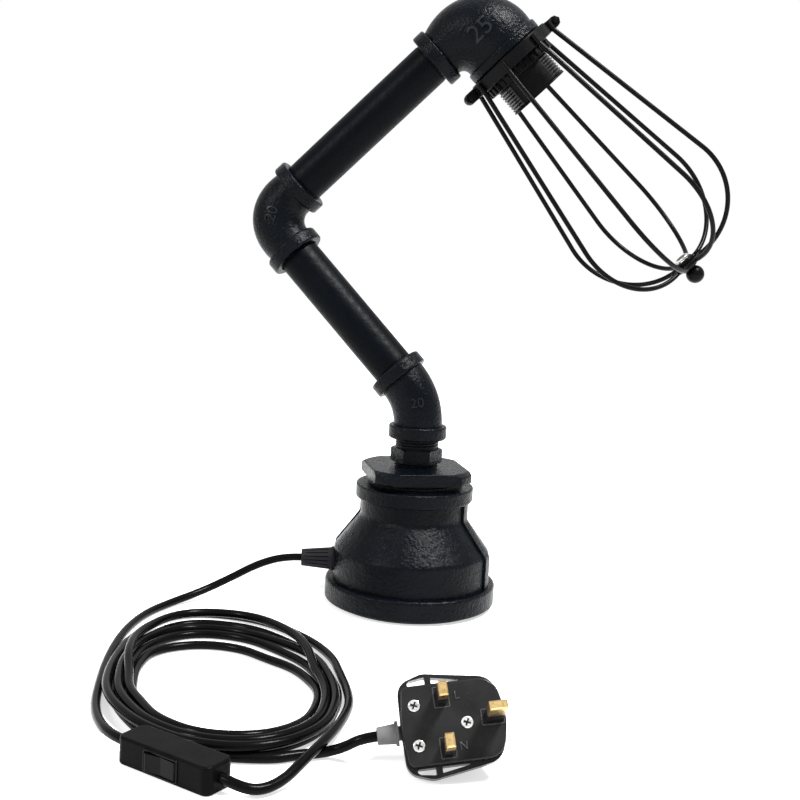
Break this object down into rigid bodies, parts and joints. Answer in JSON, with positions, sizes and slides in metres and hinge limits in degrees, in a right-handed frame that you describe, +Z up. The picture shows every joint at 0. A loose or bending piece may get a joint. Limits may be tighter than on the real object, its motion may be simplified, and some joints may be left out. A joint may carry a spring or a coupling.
{
  "type": "pipe table lamp",
  "caption": "Table lamp of black screwed pipe fittings with a swivelling arm, a hinged wire guard round the lamp holder, a coiled lead, a line switch and a mains plug.",
  "frame": {"origin": "centre of the resting face under the base", "axes": "+Z up; -Y towards the viewer; the lower arm leans to -X, the cord leaves the base to -X"},
  "size_m": [0.3538, 0.3574, 0.3846],
  "materials": {
    "cast_black": "black paint on cast iron, slightly rough",
    "pipe_black": "satin black paint on steel pipe",
    "pad_rubber": "matte",
    "gland_plastic": "matte moulded",
    "cord_black": "satin PVC sheath",
    "switch_plastic": "satin moulded",
    "rocker_plastic": "gloss moulded",
    "plug_plastic": "semi-gloss moulded",
    "relief_grey": "matte grey moulded",
    "sleeve_plastic": "matte insulating sleeve",
    "pin_brass": "satin brass",
    "screw_steel": "plated steel",
    "fuse_ceramic": "unglazed ceramic",
    "terminal_plastic": "natural plastic",
    "holder_plastic": "satin phenolic",
    "shell_nickel": "nickel plated",
    "guard_black": "satin black paint on steel wire"
  },
  "bodies": {
    "base": {"base_pad": "pad_rubber", "reducing_socket": "cast_black", "hexagon_bushing": "cast_black", "hex_nipple": "cast_black", "cord_gland": "gland_plastic", "gland_nut": "gland_plastic", "terminal_block": "terminal_plastic", "terminal_screws": "pin_brass", "base_inner_lead": "cord_black", "cord_lead": "cord_black", "cord_coil": "cord_black", "cord_tail": "cord_black", "switch_front": "switch_plastic", "switch_back": "switch_plastic", "rocker_carrier": "switch_plastic", "switch_screws": "screw_steel", "switch_contacts": "pin_brass", "plug_face": "plug_plastic", "plug_cover": "plug_plastic", "live_pin": "pin_brass", "neutral_pin": "pin_brass", "earth_pin": "pin_brass", "pin_sleeves": "sleeve_plastic", "plug_screws": "screw_steel", "plug_fuse": "fuse_ceramic", "fuse_clips": "pin_brass", "plug_relief": "relief_grey", "cord_grip": "plug_plastic"},
    "lower_arm": {"elbow_45": "cast_black", "lower_pipe": "pipe_black", "lower_inner_lead": "cord_black"},
    "upper_arm": {"elbow_90": "cast_black", "upper_pipe": "pipe_black", "upper_inner_lead": "cord_black"},
    "head": {"head_elbow": "cast_black", "holder_cap": "holder_plastic", "holder_body": "holder_plastic", "holder_insert": "fuse_ceramic", "threaded_shell": "shell_nickel", "lamp_contacts": "pin_brass", "collar_ring": "holder_plastic", "guard_band_fixed": "guard_black", "guard_hub": "guard_black", "fixed_wire_1": "guard_black", "fixed_wire_2": "guard_black", "fixed_wire_3": "guard_black", "fixed_wire_4": "guard_black", "hub_rivet": "shell_nickel", "hub_ball": "guard_black", "hinge_pins": "guard_black", "clamp_screws": "guard_black"},
    "guard_door": {"guard_band_swing": "guard_black", "guard_yoke": "guard_black", "swing_wire_1": "guard_black", "swing_wire_2": "guard_black", "swing_wire_3": "guard_black", "swing_wire_4": "guard_black", "clamp_nuts": "guard_black"},
    "rocker": {"switch_rocker": "rocker_plastic"}
  },
  "joints": [
    {"name": "base_swivel", "type": "hinge", "parent": "base", "child": "lower_arm", "pos_m": [0, 0, 0.1323], "axis": [0, 0, 1], "range_deg": [-90, 90]},
    {"name": "elbow_turn", "type": "hinge", "parent": "lower_arm", "child": "upper_arm", "pos_m": [-0.10453, 0.03176, 0.24155], "axis": [-0.6766, 0.2056, 0.7071], "range_deg": [-90, 90]},
    {"name": "head_turn", "type": "hinge", "parent": "upper_arm", "child": "head", "pos_m": [0.02345, 0.01435, 0.36906], "axis": [0.7051, -0.0959, 0.7026], "range_deg": [-90, 90]},
    {"name": "guard_opening", "type": "hinge", "parent": "head", "child": "guard_door", "pos_m": [0.16705, 0.01978, 0.22568], "axis": [0.7041, 0.0609, 0.7075], "range_deg": [0, 40]},
    {"name": "rocker_tilt", "type": "hinge", "parent": "base", "child": "rocker", "pos_m": [-0.105, -0.26981, 0.0065], "axis": [0, 0, 1], "range_deg": [-9, 0]}
  ]
}
